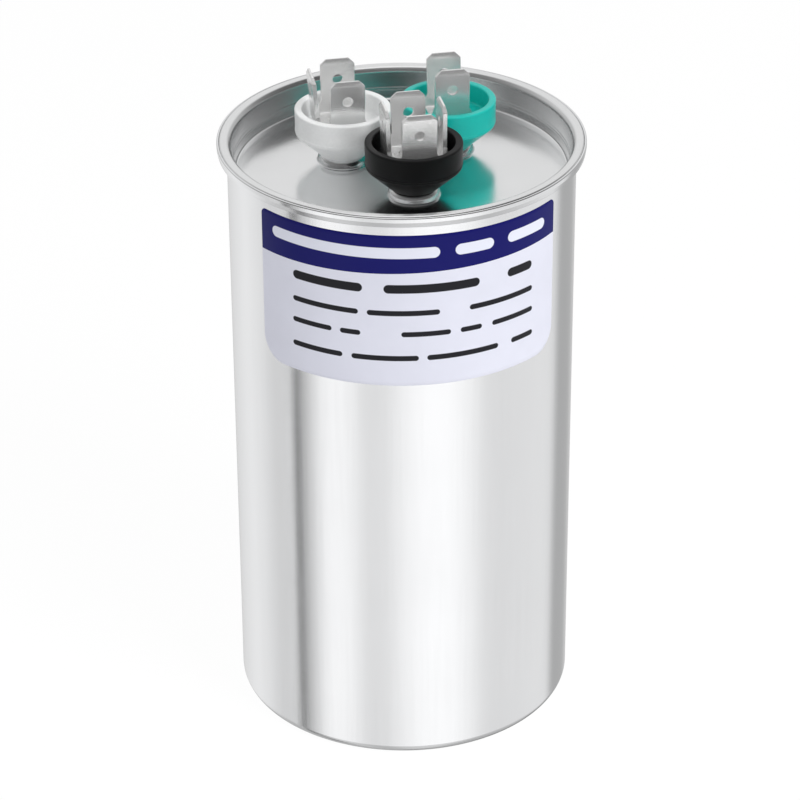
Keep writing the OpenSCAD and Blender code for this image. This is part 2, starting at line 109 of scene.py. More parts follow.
# The four corners of each cell of a grid of rows x columns points. A closed way joins its last line
# to its first.
def gridCells(rows, columns, closedRows, closedColumns):
    i = np.arange(rows if closedRows else rows - 1)[:, None]
    j = np.arange(columns if closedColumns else columns - 1)[None, :]
    i2, j2 = (i + 1) % rows, (j + 1) % columns
    corners = [i * columns + j, i * columns + j2, i2 * columns + j2, i2 * columns + j]
    return np.stack(corners, 2).reshape(-1, 4)


# Puts one or more grids of points, in millimetres, into one mesh. Doubles are merged, which closes
# seams and poles, open ends are filled, and all faces are turned outwards.
def addPiece(name, grids, material, stands, body="root", sharp=35, fill=True, uv=None):
    points, cells, start = [], [], 0
    for grid, closedRows, closedColumns in grids:
        rows, columns = grid.shape[:2]
        points.append(grid.reshape(-1, 3))
        cells.append(gridCells(rows, columns, closedRows, closedColumns) + start)
        start += rows * columns
    mesh = bpy.data.meshes.new(name)
    mesh.from_pydata(np.concatenate(points) * mm, [], np.concatenate(cells).tolist())
    if uv is not None:
        layer = mesh.uv_layers.new(name="printMap")
        corners = np.zeros(len(mesh.loops), np.int32)
        mesh.loops.foreach_get("vertex_index", corners)
        layer.data.foreach_set("uv", uv.reshape(-1, 2)[corners].astype(np.float32).ravel())
    work = bmesh.new()
    work.from_mesh(mesh)
    bmesh.ops.remove_doubles(work, verts=work.verts, dist=mergeGap * mm)
    openEdges = [e for e in work.edges if fill and e.is_boundary]
    if openEdges:
        bmesh.ops.holes_fill(work, edges=openEdges, sides=0)
    bmesh.ops.recalc_face_normals(work, faces=work.faces)
    work.to_mesh(mesh)
    work.free()
    mesh.shade_smooth()
    mesh.set_sharp_from_angle(angle=math.radians(sharp))
    piece = bpy.data.objects.new(name, mesh)
    bpy.context.scene.collection.objects.link(piece)
    mesh.materials.append(material)
    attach(piece, body)
    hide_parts(*stands)
    print("piece", name, len(mesh.polygons), "faces")
    return piece


# Short ways to add and join nodes in one tree. An input is given a value or another node's output.
class Nodes:
    def __init__(self, tree):
        self.tree = tree

    def add(self, kind, inputs=None, **settings):
        node = self.tree.nodes.new(kind)
        for key, value in settings.items():
            setattr(node, key, value)
        for key, value in (inputs or {}).items():
            socket = node.inputs[key]
            if isinstance(value, bpy.types.NodeSocket):
                self.tree.links.new(value, socket)
            else:
                socket.default_value = value
        return node

    def math(self, operation, a, b=0.0, c=0.0):
        return self.add("ShaderNodeMath", {0: a, 1: b, 2: c}, operation=operation).outputs[0]

    def scaled(self, vector, factors):
        return self.add("ShaderNodeVectorMath", {0: vector, 1: factors}, operation="MULTIPLY").outputs[0]

    def noise(self, vector, scale, detail, roughness):
        inputs = {"Vector": vector, "Scale": scale, "Detail": detail, "Roughness": roughness}
        return self.add("ShaderNodeTexNoise", inputs).outputs["Fac"]

    def spread(self, value, low, high, toLow=0.0, toHigh=1.0):
        inputs = {"Value": value, "From Min": low, "From Max": high, "To Min": toLow, "To Max": toHigh}
        return self.add("ShaderNodeMapRange", inputs).outputs["Result"]

    def mix(self, factor, a, b):
        return self.add("ShaderNodeMix", {0: factor, 6: a, 7: b}, data_type="RGBA").outputs[2]

    def bump(self, height, strength, depth):
        inputs = {"Height": height, "Strength": strength, "Distance": depth * mm}
        return self.add("ShaderNodeBump", inputs).outputs["Normal"]

    # Greys by place along the ramp. The places are all set first, because moving one reorders them.
    def ramp(self, value, stops):
        node = self.add("ShaderNodeValToRGB", {"Fac": value})
        elements = node.color_ramp.elements
        while len(elements) < len(stops):
            elements.new(0.5)
        for element, (place, level) in zip(elements, stops):
            element.position = place
        for element, (place, level) in zip(elements, stops):
            element.color = (level, level, level, 1)
        return node.outputs["Color"]


# A new node group with number or vector inputs (name: value) and outputs (name: "Color" or "Float").
def newGroup(name, inputs, outputs):
    group = bpy.data.node_groups.new(name, "ShaderNodeTree")
    for key, value in inputs.items():
        kind = "NodeSocketVector" if isinstance(value, tuple) else "NodeSocketFloat"
        socket = group.interface.new_socket(name=key, in_out="INPUT", socket_type=kind)
        socket.default_value = value
    for key, kind in outputs.items():
        group.interface.new_socket(name=key, in_out="OUTPUT", socket_type="NodeSocket" + kind)
    return group, Nodes(group), group.nodes.new("NodeGroupInput"), group.nodes.new("NodeGroupOutput")


# Fine grain of metal or moulded plastic: two layers of noise on the piece's own place.
def makeGrainGroup():
    inputs = {"Place": (0.0, 0.0, 0.0), "Grains per mm": 4.0, "Patch per mm": 0.2}
    group, n, source, sink = newGroup("surfaceGrain", inputs, {"Grain": "Float", "Patches": "Float"})
    place = n.scaled(source.outputs["Place"], (1 / mm, 1 / mm, 1 / mm))
    fine = n.noise(place, source.outputs["Grains per mm"], detail=3.0, roughness=0.6)
    patches = n.noise(place, source.outputs["Patch per mm"], detail=4.0, roughness=0.55)
    group.links.new(n.spread(fine, *noiseSpan), sink.inputs["Grain"])
    group.links.new(n.spread(patches, *noiseSpan), sink.inputs["Patches"])
    return group


# Upright draw marks: noise that hardly changes along Z.
def makeDrawMarkGroup():
    inputs = {"Place": (0.0, 0.0, 0.0), "Marks per mm": 1.5, "Stretch": 0.03}
    group, n, source, sink = newGroup("drawMarks", inputs, {"Marks": "Float"})
    along = n.math("MULTIPLY", source.outputs["Stretch"], 1 / mm)
    stretch = n.add("ShaderNodeCombineXYZ", {"X": 1 / mm, "Y": 1 / mm, "Z": along})
    place = n.scaled(source.outputs["Place"], stretch.outputs[0])
    marks = n.noise(place, source.outputs["Marks per mm"], detail=3.0, roughness=0.55)
    group.links.new(n.spread(marks, *noiseSpan), sink.inputs["Marks"])
    return group


# One printed bar with round ends: 1 where the distance to its middle line is less than its radius.
def makeInkBarGroup():
    inputs = {"Across": 0.0, "Up": 0.0, "Row": 0.0, "Start": 0.0, "End": 1.0, "Radius": 0.5, "Blur": 0.04}
    group, n, source, sink = newGroup("inkBar", inputs, {"Ink": "Float"})
    put = source.outputs
    middle = n.math("MULTIPLY", n.math("ADD", put["Start"], put["End"]), 0.5)
    length = n.math("SUBTRACT", put["End"], put["Start"])
    half = n.math("SUBTRACT", n.math("MULTIPLY", length, 0.5), put["Radius"])
    aside = n.math("ABSOLUTE", n.math("SUBTRACT", put["Across"], middle))
    beyond = n.math("MAXIMUM", n.math("SUBTRACT", aside, half), 0.0)
    off = n.math("SUBTRACT", put["Up"], put["Row"])
    away = n.math("SQRT", n.math("ADD", n.math("MULTIPLY", beyond, beyond), n.math("MULTIPLY", off, off)))
    over = n.math("SUBTRACT", away, put["Radius"])
    inside = n.math("MULTIPLY", put["Blur"], -1.0)
    group.links.new(n.spread(over, inside, put["Blur"], 1.0, 0.0), sink.inputs["Ink"])
    return group


grainGroup = makeGrainGroup()
drawMarkGroup = makeDrawMarkGroup()
inkBarGroup = makeInkBarGroup()


leastRoughness = 0.02


# A material with its shader, and the piece's Object coordinates.
def newMaterial(name, colour, roughness, metallic=0.0, coat=0.0, specular=0.5):
    material = bpy.data.materials.new(name)
    material.use_nodes = True
    material.diffuse_color = (*colour, 1)
    n = Nodes(material.node_tree)
    shader = material.node_tree.nodes["Principled BSDF"]
    shader.inputs["Base Color"].default_value = (*colour, 1)
    shader.inputs["Roughness"].default_value = roughness
    shader.inputs["Metallic"].default_value = metallic
    shader.inputs["Coat Weight"].default_value = coat
    shader.inputs["Specular IOR Level"].default_value = specular
    place = n.add("ShaderNodeTexCoord").outputs["Object"]
    return material, n, shader, place


# Shared finish: patchy tone and roughness, and fine grain that also stands up as relief. Where asked for,
# draw marks, and a rougher surface above a height: (from, fully from, extra roughness), in millimetres.
def grainMaterial(name, colour, roughness, metallic=0.0, coat=0.0, specular=0.5, grains=4.0, patch=0.2,
                  tone=0.08, roughSpread=0.06, relief=0.1, reliefDepth=0.01, marks=0.0, rougherAbove=None):
    material, n, shader, place = newMaterial(name, colour, roughness, metallic, coat, specular)
    inputs = {"Place": place, "Grains per mm": grains, "Patch per mm": patch}
    grain = n.add("ShaderNodeGroup", inputs, node_tree=grainGroup)
    level = n.math("ADD", n.math("MULTIPLY", grain.outputs["Grain"], 0.5),
                   n.math("MULTIPLY", grain.outputs["Patches"], 0.5))
    height = grain.outputs["Grain"]
    if marks:
        drawn = n.add("ShaderNodeGroup", {"Place": place}, node_tree=drawMarkGroup).outputs["Marks"]
        level = n.math("ADD", n.math("MULTIPLY", level, 1 - marks), n.math("MULTIPLY", drawn, marks))
        height = n.math("ADD", height, n.math("MULTIPLY", drawn, marks * 2))
    dark = tuple(c * (1 - tone) for c in colour)
    light = tuple(min(1, c * (1 + tone)) for c in colour)
    n.tree.links.new(n.mix(level, (*dark, 1), (*light, 1)), shader.inputs["Base Color"])
    smoothest = max(leastRoughness, roughness - roughSpread)
    rough = n.spread(level, 0.0, 1.0, roughness + roughSpread, smoothest)
    if rougherAbove:
        low, high, extra = rougherAbove
        z = n.add("ShaderNodeSeparateXYZ", {0: place}).outputs["Z"]
        rough = n.math("ADD", rough, n.spread(z, low * mm, high * mm, 0.0, extra))
    n.tree.links.new(rough, shader.inputs["Roughness"])
    n.tree.links.new(n.bump(height, relief, reliefDepth), shader.inputs["Normal"])
    return material


can = dict(
    radius=31.75, height=114.1, sheet=0.4, baseEdge=1.8,
    rimOut=1.8, lipDrop=0.13, lipEdge=0.19, flareFoot=110.0,
    ledge=111.85, ledgeBend=0.6, ledgeBendInside=0.5,
    bandFoot=112.2, bandFootIn=0.17, bandFootBend=0.12, bandFootBendInside=0.1,
    bandBreak=113.1, bandBreakBend=0.3, lipEdgeInside=0.12, seam=0.02,
    waveDepth=0.025, waveFoot=3, waveFade=12, segments=288,
    colour=(0.90, 0.905, 0.915), roughness=0.15,
)
rimRadius = can["radius"] + can["rimOut"]
lipTop = can["height"] - can["lipDrop"]
crimpRadius = rimRadius - can["sheet"] - can["seam"]


# Small inward waves of the thin wall, deepest at mid height: a sum of two sines round the can
# that drift with height, times a hump between base edge and flare.
def wallWaves(points):
    x, y, z = points[..., 0], points[..., 1], points[..., 2]
    r = np.hypot(x, y)
    a = np.arctan2(y, x)
    low, high, fade = can["waveFoot"], can["flareFoot"], can["waveFade"]
    hump = np.clip((z - low) / fade, 0, 1) * np.clip((high - 1 - z) / fade, 0, 1)
    onWall = (r > can["radius"] - can["sheet"] / 2) & (z > low) & (z < high)  # its outer face
    wave = 0.5 + 0.25 * np.sin(3 * a + 0.02 * z + 0.6) + 0.25 * np.sin(7 * a - 0.035 * z)
    inward = np.where(onWall, can["waveDepth"] * hump * wave, 0)
    scale = (r - inward) / np.maximum(r, 1e-6)
    return np.stack([x * scale, y * scale, z], 2)


canMetal = grainMaterial("drawnAluminium", can["colour"], can["roughness"], metallic=1.0, grains=5.0,
                         patch=0.06, tone=0.015, roughSpread=0.04, relief=0.25, reliefDepth=0.012, marks=0.35)


# Section of the can: up the wall, out over the ledge under the rim, up the crimped band in two facets to its
# lip, and back down inside at the sheet's thickness.
def canSection():
    sheet, inner = can["sheet"], can["radius"] - can["sheet"]
    points = [(0, 0), (can["radius"], 0), (can["radius"], can["ledge"]),
              (rimRadius - can["bandFootIn"], can["bandFoot"]), (rimRadius, can["bandBreak"]),
              (rimRadius, lipTop), (rimRadius - sheet, lipTop), (rimRadius - sheet, can["bandFoot"] + sheet),
              (inner, can["ledge"] + sheet), (inner, sheet), (0, sheet)]
    radii = [can["baseEdge"], can["ledgeBend"], can["bandFootBend"], can["bandBreakBend"], can["lipEdge"],
             can["lipEdgeInside"], can["bandFootBendInside"], can["ledgeBendInside"], can["baseEdge"] - sheet]
    return filledLine(roundedLine(points, radii)[0], step=3, closed=True)


canGrid = wallWaves(revolved(canSection(), can["segments"]))
addPiece("canShell", [(canGrid, True, True)], canMetal, ["can"])


lid = dict(
    sheet=0.36, depth=6.1, topWidth=1.5, skirtFoot=112.75,
    footRadius=30.27, stepHeight=1.4, stepOut=0.30, wallOut=0.40, wallTop=0.75,
    bead=0.05, beadBend=0.02, beadUp=(0.12, 0.24, 0.36, 0.70, 0.80, 0.90),  # foot, deepest place, top of each
    footBend=0.42, wallBend=1.1, innerBend=0.8, outerBend=0.38,
    panelDish=0.12, dishFromWall=(1, 5), dishFromCollar=(5, 10), segments=288,
    collarDiameter=9.6, collarHeight=1.55, collarBend=1.8, collarFillet=0.16, collarLip=0.1, collarDepth=0.2,
    collarOut=0.01, collarUp=0.004, boreRadius=3.7, collarSegments=96,
    colour=(0.88, 0.885, 0.89), roughness=0.16, wallRoughness=0.07, wallRoughFrom=0.2, wallRoughTo=1.2,
)
panelTop = can["height"] - lid["depth"]
collarTop = panelTop + lid["collarHeight"]
rimInner = crimpRadius - lid["topWidth"]
stepRadius = lid["footRadius"] + lid["stepOut"]
terminalRadius = 19.5 / math.sqrt(3)  # the terminals' axes stand 19.5 apart
terminals = dict(
    common=dict(angle=-90, ways=(0, 90, 180, 270), bent={0: -1.5}, span=None, slot="black_cup"),
    compressor=dict(angle=150, ways=(90, 180, 270), bent={180: 2.6}, span=None, slot="white_cup"),
    fan=dict(angle=30, ways=(90, 270), bent={}, span=8.0, slot="green_cup"),
)
for terminal in terminals.values():
    a = math.radians(terminal["angle"])
    terminal["centre"] = (terminalRadius * math.cos(a), terminalRadius * math.sin(a))


# The thin panel sinks a little between its wall and its collars: the dish times a smooth hump that grows
# with the distance from the wall and from each collar's axis.
def dishedPanel(points):
    def grown(distance, fade):
        return np.clip((distance - fade[0]) / (fade[1] - fade[0]), 0, 1)

    r = np.hypot(points[..., 0], points[..., 1])
    flat = (r < lid["footRadius"] - lid["dishFromWall"][0]) & (points[..., 2] < panelTop + 0.01)  # both faces
    hump = eased(grown(lid["footRadius"] - r, lid["dishFromWall"]))
    clear = np.ones_like(r)
    for terminal in terminals.values():
        away = np.hypot(points[..., 0] - terminal["centre"][0], points[..., 1] - terminal["centre"][1])
        clear = clear * grown(away, lid["dishFromCollar"])
    out = points.copy()
    out[..., 2] -= np.where(flat, lid["panelDish"] * eased(clear) * hump, 0)
    return out


lidMetal = grainMaterial("pressedSheet", lid["colour"], lid["roughness"], metallic=1.0, grains=5.0,
                         patch=0.12, tone=0.02, roughSpread=0.03, relief=0.2, reliefDepth=0.012,
                         rougherAbove=(panelTop + lid["wallRoughFrom"], panelTop + lid["wallRoughTo"],
                                       lid["wallRoughness"]))


# Line of the lid: panel, step, two fine beads pressed into the neck's wall, and over the rim to its skirt.
def lidLine():
    step, wallTop = panelTop + lid["stepHeight"], can["height"] - lid["wallTop"]
    slope = lid["wallOut"] / (wallTop - step)
    beads = [(stepRadius + up * slope - (lid["bead"] if i % 3 == 1 else 0), step + up)
             for i, up in enumerate(lid["beadUp"])]
    points = [(0, panelTop), (lid["footRadius"], panelTop), (stepRadius, step), *beads,
              (stepRadius + lid["wallOut"], wallTop), (rimInner, can["height"]), (crimpRadius, can["height"]),
              (crimpRadius, lid["skirtFoot"])]
    radii = [lid["footBend"], *[lid["beadBend"]] * (1 + len(beads)), lid["wallBend"], lid["innerBend"],
             lid["outerBend"]]
    return points, radii


# A collar round each opening: up the bore, over its flat top, down an arc to its widest at the panel, out
# over a small hollow fillet, and back under the panel's top.
def collarLine(steps=14):
    bend, fillet, foot = lid["collarBend"], lid["collarFillet"], panelTop - lid["collarDepth"]
    centre = lid["collarDiameter"] / 2 - bend
    t = np.linspace(math.asin(lid["collarHeight"] / bend), math.asin(fillet / bend), steps)
    boss = np.stack([centre + bend * np.cos(t), panelTop + bend * np.sin(t)], 1)
    t = np.linspace(math.pi, 1.5 * math.pi, steps // 2)
    hollow = np.stack([boss[-1, 0] + lid["collarOut"] + fillet * (1 + np.cos(t)),
                       panelTop + lid["collarUp"] + fillet * (1 + np.sin(t))], 1)
    corners = [(lid["boreRadius"], foot), (lid["boreRadius"], collarTop), boss[0]]
    bore = roundedLine(corners, [lid["collarLip"]])[0]
    return np.concatenate([bore[:-1], boss, hollow, [(hollow[-1, 0], foot)]])


lidSection = sheetSection(*lidLine(), -lid["sheet"], step=1.2, steps=7)
collarSection = filledLine(collarLine(), step=0.4, closed=True)
lidGrids = [(dishedPanel(revolved(lidSection, lid["segments"])), True, True)]
lidGrids += [(revolved(collarSection, lid["collarSegments"], terminal["centre"]), True, True)
             for terminal in terminals.values()]
addPiece("lidPressing", lidGrids, lidMetal, ["lid"])


label = dict(
    height=29.75, span=109.4, turn=-7.8, belowFlare=0.2, thickness=0.045, edge=0.04, corner=5.0,
    topCorner=1.2, headLeft=21.7, headRight=23.1, mapSize=100.0,  # side of the print map, in millimetres
    paper=(0.735, 0.745, 0.845), head=(0.002, 0.0025, 0.125), ink=(0.012, 0.012, 0.016),
    light=(0.76, 0.78, 0.88), tone=0.03, roughness=0.42, roughSpread=0.04, specular=0.22,
    grains=6.0, patch=0.08, relief=0.08, reliefDepth=0.01,
)
labelFoot = can["flareFoot"] - label["belowFlare"] - label["height"]
labelRadius = can["radius"] + label["thickness"]
labelLength = math.radians(label["span"]) * labelRadius


# A skin on the can: the column at arc length u runs from the foot to the top, and both draw in near the
# sides as quarter circles. The outer and inner faces lie a thickness apart and meet along the outline.
# Also gives each point's place on the print: (along the arc, above the foot).
def labelGrids(columns=160, rows=40, crowding=0.12):
    def edged(count, length):
        share = np.linspace(0, 1, count)
        near = label["edge"] / length
        return np.concatenate([[0, near], share[1:-1], [1 - near, 1]])

    share = edged(columns, labelLength)
    u = np.clip(labelLength * (share - crowding * np.sin(2 * math.pi * share)), 0, labelLength)
    u[1], u[-2] = label["edge"], labelLength - label["edge"]
    fromSide = np.minimum(u, labelLength - u)

    def drawIn(radius):
        gap = np.clip(radius - fromSide, 0, radius)
        return radius - np.sqrt(np.maximum(radius * radius - gap * gap, 0))

    low = drawIn(label["corner"])
    high = label["height"] - drawIn(label["topCorner"])
    up = low[None, :] + (high - low)[None, :] * edged(rows, label["height"])[:, None]
    across = np.broadcast_to(u, up.shape)
    inside = np.zeros(up.shape)
    inside[1:-1, 1:-1] = 1
    a = across / labelRadius + math.radians(label["turn"]) - math.radians(label["span"]) / 2
    grids = []
    for side in (1, -1):
        r = labelRadius - label["thickness"] * (0.5 - 0.5 * side * inside)
        grids.append(np.stack([r * np.sin(a), -r * np.cos(a), labelFoot + up], 2))
    return grids, np.stack([across, up], 2)


# Plain bars in place of print: (row, radius, then start and end of each bar along the row), in millimetres.
printedRows = dict(
    head=[(26.3, 1.05, (3.0, 35.2), (38.0, 45.4), (48.4, 57.6))],
    field=[(19.3, 0.85, (7.8, 21.4), (25.2, 42.6), (48.4, 54.2)),
           (14.5, 0.52, (7.7, 20.6), (22.2, 35.2), (40.7, 54.4)),
           (10.3, 0.50, (7.6, 15.6), (17.2, 21.0), (28.3, 37.2), (39.0, 43.1), (45.2, 54.5)),
           (5.5, 0.52, (7.5, 17.6), (19.3, 31.4), (32.9, 46.5), (49.4, 54.6))],
)


# Paper with a dark head over a slightly sloping edge, and bars of ink on both.
def labelMaterial():
    material, n, shader, place = newMaterial("printedSkin", label["paper"], label["roughness"],
                                             specular=label["specular"])
    uv = n.add("ShaderNodeUVMap", uv_map="printMap").outputs["UV"]
    split = n.add("ShaderNodeSeparateXYZ", {0: n.scaled(uv, (label["mapSize"], label["mapSize"], 0.0))})
    across, up = split.outputs["X"], split.outputs["Y"]

    def bars(rows):
        total = 0.0
        for row, radius, *spans in rows:
            for start, end in spans:
                inputs = {"Across": across, "Up": up, "Row": row, "Start": start, "End": end,
                          "Radius": radius}
                bar = n.add("ShaderNodeGroup", inputs, node_tree=inkBarGroup)
                total = n.math("MAXIMUM", bar.outputs["Ink"], total)
        return total

    headEdge = n.spread(across, 0.0, labelLength, label["headLeft"], label["headRight"])
    inHead = n.math("GREATER_THAN", up, headEdge)
    inputs = {"Place": place, "Grains per mm": label["grains"], "Patch per mm": label["patch"]}
    grain = n.add("ShaderNodeGroup", inputs, node_tree=grainGroup)
    dark, light = ([c * level for c in label["paper"]] for level in (1 - label["tone"], 1 + label["tone"]))
    paper = n.mix(grain.outputs["Patches"], (*dark, 1), (*light, 1))
    field = n.mix(bars(printedRows["field"]), paper, (*label["ink"], 1))
    head = n.mix(bars(printedRows["head"]), (*label["head"], 1), (*label["light"], 1))
    rough = n.spread(grain.outputs["Grain"], 0.0, 1.0, label["roughness"] - label["roughSpread"],
                     label["roughness"] + label["roughSpread"])
    n.tree.links.new(n.mix(inHead, field, head), shader.inputs["Base Color"])
    n.tree.links.new(rough, shader.inputs["Roughness"])
    bump = n.bump(grain.outputs["Grain"], label["relief"], label["reliefDepth"])
    n.tree.links.new(bump, shader.inputs["Normal"])
    return material


labelFaces, printPlace = labelGrids()
addPiece("labelSkin", [(grid, False, False) for grid in labelFaces], labelMaterial(), ["label"],
         fill=False, uv=np.concatenate([printPlace, printPlace]) / label["mapSize"])


cup = dict(
    radius=8.8, wall=1.35, topHeight=10.3, depth=3.7, bandHeight=4.7, coneBend=0.55, draft=0.08,
    neckRadius=3.6, neckLength=1.2, boreRadius=1.6, seatWidth=0.8, seatCorner=0.2, floorCorner=0.4, edge=0.3,
    lineUp=0.45, lineDepth=0.08, linePeak=0.07, lineWidth=0.16, lineBends=(0.02, 0.02, 0.03), segments=144,
)
cupTop = panelTop + cup["topHeight"]
cupFloor = cupTop - cup["depth"]
cupInner = cup["radius"] - cup["wall"]
neckEnd = panelTop - lid["sheet"] - cup["neckLength"]


# Outline of a cup from the neck's end over its seat on the collar and round the rim to its floor, with the
# fine mould line round the band's foot.
def cupSection():
    bore, neck, edge = cup["boreRadius"], cup["neckRadius"], cup["edge"]
    bandFoot = cupTop - cup["bandHeight"]
    line = bandFoot + cup["lineUp"]
    r = cup["radius"] - cup["draft"]
    points = [(bore, neckEnd), (neck, neckEnd), (neck, collarTop), (neck + cup["seatWidth"], collarTop),
              (r, bandFoot), (r, line), (r + cup["lineDepth"], line + cup["linePeak"]),
              (r, line + cup["lineWidth"]), (cup["radius"], cupTop), (cupInner, cupTop),
              (cupInner - cup["draft"], cupFloor), (bore, cupFloor)]
    radii = [edge, cup["seatCorner"], edge, cup["coneBend"], *cup["lineBends"], edge, edge,
             cup["floorCorner"]]
    return filledLine(roundedLine(points, radii)[0], step=1.0, closed=True)


cupFinishes = dict(
    common=dict(colour=(0.0035, 0.0036, 0.004), roughness=0.40, specular=0.28, grains=3.0, relief=0.22),
    compressor=dict(colour=(0.79, 0.80, 0.80), roughness=0.36, specular=0.5, grains=2.0, relief=0.12),
    fan=dict(colour=(0.004, 0.46, 0.40), roughness=0.34, specular=0.5, grains=2.0, relief=0.12),
)
for name, terminal in terminals.items():
    moulding = grainMaterial(name + "Moulding", **cupFinishes[name], patch=0.3, tone=0.05, roughSpread=0.05,
                             reliefDepth=0.02)
    cupGrid = revolved(cupSection(), cup["segments"], terminal["centre"])
    addPiece(name + "CupMoulding", [(cupGrid, True, True)], moulding, [name + "_cup"])


tab = dict(
    width=6.3, thickness=0.8, height=10.2, reach=7.6, corner=1.1, hole=1.9, holeFromTop=3.9, bevel=0.9,
    tip=0.4, shoulder=0.5, shoulderHeight=1.1, footHeight=0.15,
    bends=(0.02, 0.1, 0.25, 0.18, 0.18),  # of the outline's corners, from the foot's middle to the end
    wallGap=1.0, lean=2.3, bend=0.5, edge=0.07, plateHole=1.6,
    rings=(0.12, 0.35, 0.65, 0.9),  # rows of points between hole and outline, as shares of the way
    colour=(0.94, 0.94, 0.935), roughness=0.19, metallic=0.82,
)
plateTop = cupFloor + tab["thickness"]
footHalf = tab["width"] / 2 + tab["shoulder"]
fullSpan = 2 * math.sqrt((cupInner - tab["wallGap"]) ** 2 - footHalf ** 2)
bendReach = tab["bend"] * math.tan(math.pi / 4 - math.radians(tab["lean"]) / 2)


# A flat sheet with a round hole: rows of points run from the hole's edge to the outline on one face,
# over the rounded edge, and back on the other. lineOf gives a row that the bevel starts from.
def punchedSheet(outline, centre, radius, lineOf=None):
    thickness, edge = tab["thickness"], tab["edge"]
    away = outline - centre
    outward = away / np.linalg.norm(away, axis=1)[:, None]
    hole = centre + outward * radius
    lipped = centre + outward * (radius + edge)
    inset = outline - outward * edge
    last = inset if lineOf is None else lineOf(inset)
    face = [lipped] + [lipped + (last - lipped) * share for share in tab["rings"]] + [last, inset]
    rows = [(hole, edge)] + [(p, 0.0) for p in face] + [(outline, edge), (outline, thickness - edge)]
    rows += [(p, thickness) for p in face[::-1]] + [(hole, thickness - edge)]
    flat = np.stack([p for p, depth in rows])
    depth = np.array([depth for p, depth in rows])[:, None] + np.zeros(len(outline))
    return flat, depth


# Blank of a standing tab, (across, along) from the foot's sharp corner to the cut corners of its end:
# full width at the foot, sloping shoulders, then straight sides.
def tabOutline(length):
    side, corner = tab["width"] / 2, tab["corner"]
    shoulder = length - tab["reach"]
    footEnd = max(bendReach + tab["footHeight"], shoulder - tab["shoulderHeight"])
    right = [(footHalf, bendReach), (footHalf, footEnd), (side, shoulder), (side, length - corner),
             (side - corner, length)]
    middle = [(0, bendReach)]
    corners = middle + right + [(-x, y) for x, y in right[::-1]] + middle
    line = roundedLine(corners, tab["bends"] + tab["bends"][::-1], steps=4)[0]
    return filledLine(line[:-1], step=0.35, closed=True)


# Turns a shape that points along X towards the given way: x = out cos a - across sin a,
# y = out sin a + across cos a.
def turnedTo(out, across, z, way):
    c, s = math.cos(math.radians(way)), math.sin(math.radians(way))
    return np.stack([out * c - across * s, out * s + across * c, z], 2)


# Folded up: across stays, along runs up the leaning face, depth goes outwards through the sheet, and
# the sheet thins towards its end from the bevel's line on.
def foldedTab(span, way, lean):
    length = tab["height"] / math.cos(lean)
    centre = np.array([0, length - tab["holeFromTop"]])
    bevelLine = length - tab["bevel"]
    flat, depth = punchedSheet(tabOutline(length), centre, tab["hole"] / 2,
                               lambda p: np.stack([p[:, 0], np.minimum(p[:, 1], bevelLine)], 1))
    along = flat[..., 1]
    thin = np.clip((along - bevelLine) / tab["bevel"], 0, 1) * (1 - tab["tip"] / tab["thickness"])
    half = tab["thickness"] / 2
    depth = half + (depth - half) * (1 - thin)
    out = span / 2 - tab["thickness"] + along * math.sin(lean) + depth * math.cos(lean)
    z = plateTop + along * math.cos(lean) - depth * math.sin(lean)
    return turnedTo(out, flat[..., 0], z, way)


# The foot's bend: the sheet's oblong section with cut corners, carried round the arc between plate and tab.
def foldedFoot(span, way, lean):
    e, t = tab["edge"], tab["thickness"]
    section = np.array([(-footHalf + e, 0), (footHalf - e, 0), (footHalf, e), (footHalf, t - e),
                        (footHalf - e, t), (-footHalf + e, t), (-footHalf, t - e), (-footHalf, e)])
    turn = np.linspace(0, math.pi / 2 - lean, 11)[:, None]
    r = tab["bend"] + section[:, 1]
    out = span / 2 - t - bendReach + r * np.sin(turn)
    z = plateTop + tab["bend"] - r * np.cos(turn)
    return turnedTo(out, section[:, 0] + 0 * turn, z, way)


# Base plate: it reaches to each bend, and elsewhere to the side of the neighbouring foot.
def basePlate(span, ways):
    reach = span / 2 - tab["thickness"] - bendReach
    side = {way: reach if way in ways else footHalf for way in (0, 90, 180, 270)}
    corners = []
    for way in side:
        a, b = side[way], side[(way + 90) % 360]
        inner = min(a, footHalf), min(b, footHalf)
        c, s = math.cos(math.radians(way)), math.sin(math.radians(way))
        corners += [(x * c - y * s, x * s + y * c) for x, y in ((a, inner[1]), inner, (inner[0], b))]
    outline = filledLine(np.array(corners), step=0.3, closed=True)
    flat, depth = punchedSheet(outline, np.zeros(2), tab["plateHole"])
    return np.stack([flat[..., 0], flat[..., 1], plateTop - depth], 2)


tabMetal = grainMaterial("tinnedSheet", tab["colour"], tab["roughness"], metallic=tab["metallic"], grains=5.0,
                         patch=0.5, tone=0.07, roughSpread=0.05, relief=0.8, reliefDepth=0.02)
for name, terminal in terminals.items():
    span = terminal["span"] or fullSpan
    centre = np.array([*terminal["centre"], 0])
    grids = [(basePlate(span, terminal["ways"]), True, True)]
    for way in terminal["ways"]:
        lean = math.radians(tab["lean"] + terminal["bent"].get(way, 0))
        grids += [(foldedTab(span, way, lean), True, True), (foldedFoot(span, way, lean), False, True)]
    grids = [(grid + centre, closedRows, closedColumns) for grid, closedRows, closedColumns in grids]
    addPiece(name + "TabSheet", grids, tabMetal, [name + "_tabs"], sharp=28)


rivet = dict(
    radius=1.5, headRadius=2.7, headHeight=0.9, edge=0.4, corner=0.05, dimple=0.25, dimpleRadius=1.0,
    dimpleSlope=0.25, dimpleBend=0.1, bushFloor=0.8, lug=0.6, segments=64,
    colour=(0.84, 0.84, 0.835), roughness=0.2,
)


